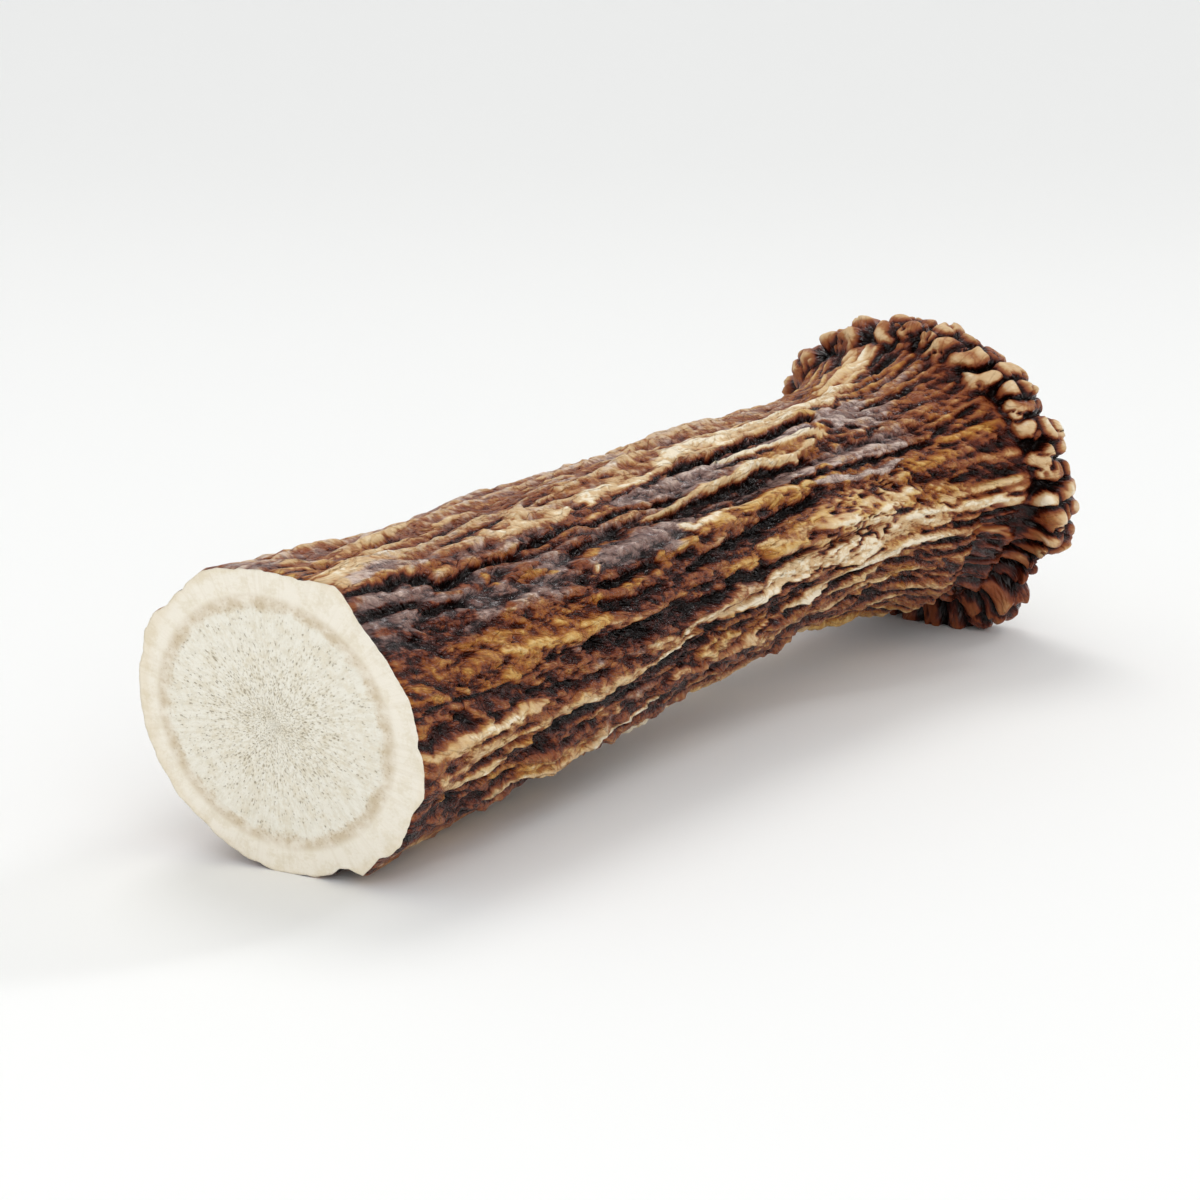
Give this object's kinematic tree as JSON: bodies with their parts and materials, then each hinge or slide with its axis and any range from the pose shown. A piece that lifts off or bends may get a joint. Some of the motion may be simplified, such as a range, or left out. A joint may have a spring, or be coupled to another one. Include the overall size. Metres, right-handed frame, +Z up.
{
  "type": "deer antler",
  "caption": "Sawn-off base of a deer antler: a rough, furrowed beam with a flat cut face at one end and a knobbly burr at the other.",
  "frame": {"origin": "on the table, under the middle of the antler's bounding box", "axes": "+X along the antler from the sawn end to the burr, +Z up, and -Y towards the more deeply furrowed side"},
  "size_m": [0.1788, 0.0564, 0.0549],
  "materials": {
    "antler_bone": "satin"
  },
  "bodies": {
    "root": {"antler": "antler_bone"}
  },
  "joints": []
}
